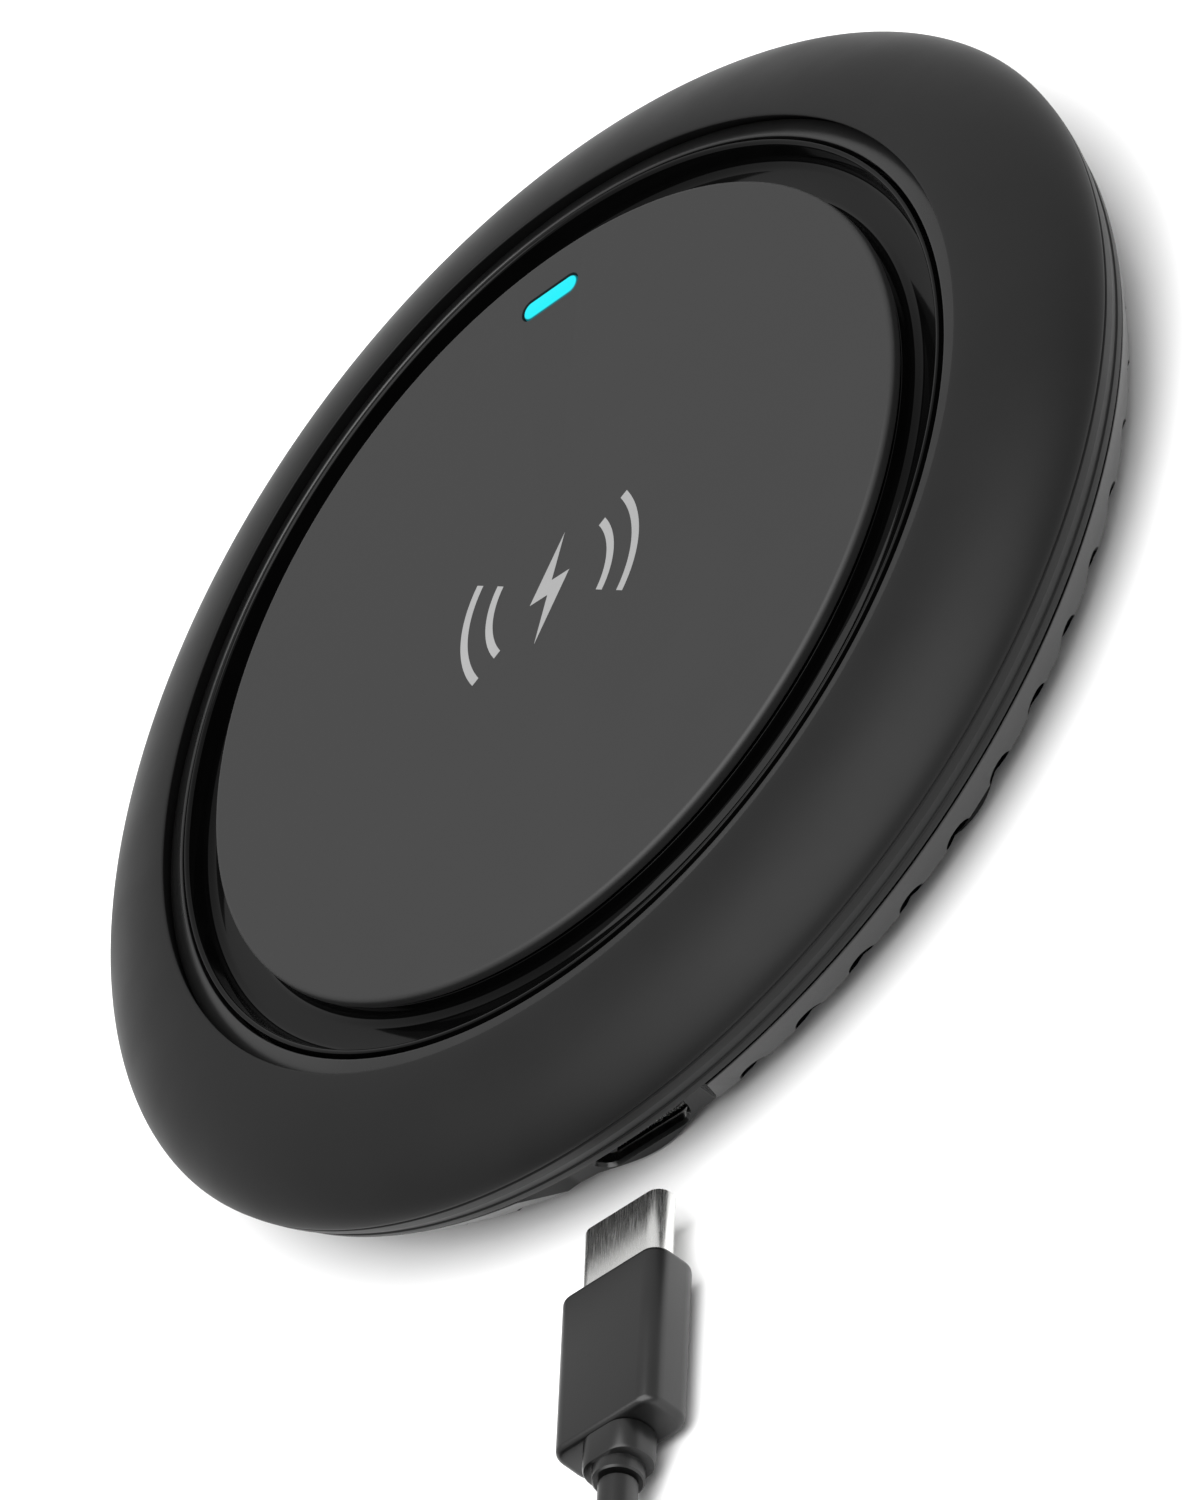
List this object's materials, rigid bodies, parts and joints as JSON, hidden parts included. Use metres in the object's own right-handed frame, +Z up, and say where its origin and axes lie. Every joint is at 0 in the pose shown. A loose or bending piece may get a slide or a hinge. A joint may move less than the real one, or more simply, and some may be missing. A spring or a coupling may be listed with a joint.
{
  "type": "wireless charging pad",
  "caption": "Low round wireless charging pad with a domed soft-touch ring, a glossy moat, a raised plate with a status light, a USB-C port and an unplugged cable.",
  "frame": {"origin": "on the table, under the centre of the pad", "axes": "+Z up, the USB-C port faces -Y, the cable lies in front of it on the port's axis"},
  "size_m": [0.1431, 0.1828, 0.0144],
  "materials": {
    "soft_touch_housing": "soft-touch coated ABS, satin",
    "trim_plastic": "moulded ABS, satin",
    "gloss_plastic": "polished black polycarbonate",
    "plate_plastic": "fine textured ABS, matte",
    "led_lens": "cyan light pipe, frosted",
    "cover_plastic": "moulded ABS, fine spark texture",
    "foot_rubber": "matte silicone rubber",
    "screw_steel": "black-zinc plated steel",
    "litz_copper": "enamelled copper litz wire",
    "ferrite": "sintered ferrite with a film cover",
    "carrier_nylon": "natural nylon",
    "circuit_board": "green solder mask on glass-epoxy",
    "chip_epoxy": "black epoxy moulding",
    "capacitor_ceramic": "tan multilayer ceramic",
    "inductor_ferrite": "pressed iron powder",
    "thermal_silicone": "soft grey-blue silicone",
    "led_package": "white moulded LED package",
    "connector_steel": "nickel-plated stainless steel",
    "connector_insulator": "black liquid-crystal polymer",
    "overmould_plastic": "satin black TPE overmould",
    "cord_jacket": "black TPE cord jacket",
    "tie_silicone": "black silicone band"
  },
  "bodies": {
    "pad": {"top_housing": "soft_touch_housing", "trim_ring": "trim_plastic", "moat_ring": "gloss_plastic", "charging_plate": "plate_plastic", "led_light_pipe": "led_lens", "bottom_cover": "cover_plastic", "foot_1": "foot_rubber", "foot_2": "foot_rubber", "foot_3": "foot_rubber", "foot_4": "foot_rubber", "screw_1": "screw_steel", "screw_2": "screw_steel", "screw_3": "screw_steel", "screw_4": "screw_steel", "transmitter_coil": "litz_copper", "ferrite_sheet": "ferrite", "coil_carrier": "carrier_nylon", "coil_lead_outer": "litz_copper", "coil_lead_inner": "litz_copper", "main_board": "circuit_board", "usb_c_receptacle_shell": "connector_steel", "usb_c_receptacle_tongue": "connector_insulator", "charging_controller_ic": "chip_epoxy", "usb_power_ic": "chip_epoxy", "power_inductor": "inductor_ferrite", "mosfet_bridge_1": "chip_epoxy", "mosfet_bridge_2": "chip_epoxy", "input_capacitor_1": "capacitor_ceramic", "input_capacitor_2": "capacitor_ceramic", "tank_capacitor_1": "capacitor_ceramic", "tank_capacitor_2": "capacitor_ceramic", "tank_capacitor_3": "capacitor_ceramic", "tank_capacitor_4": "capacitor_ceramic", "thermal_pad": "thermal_silicone", "status_led": "led_package", "coil_thermistor": "chip_epoxy"},
    "usb_cable": {"usb_c_plug_shell": "connector_steel", "usb_c_plug_insert": "connector_insulator", "usb_c_overmold": "overmould_plastic", "usb_c_strain_relief": "overmould_plastic", "cord_coil": "cord_jacket", "cord_tie": "tie_silicone", "cord_to_coil": "cord_jacket", "cord_to_far_plug": "cord_jacket", "usb_a_strain_relief": "overmould_plastic", "usb_a_overmold": "overmould_plastic", "usb_a_plug_shell": "connector_steel", "usb_a_plug_tongue": "connector_insulator"}
  },
  "joints": [
    {"name": "cable_plug_in", "type": "slide", "parent": "pad", "child": "usb_cable", "axis": [0, 1, 0], "range_m": [0, 0.01465]}
  ]
}
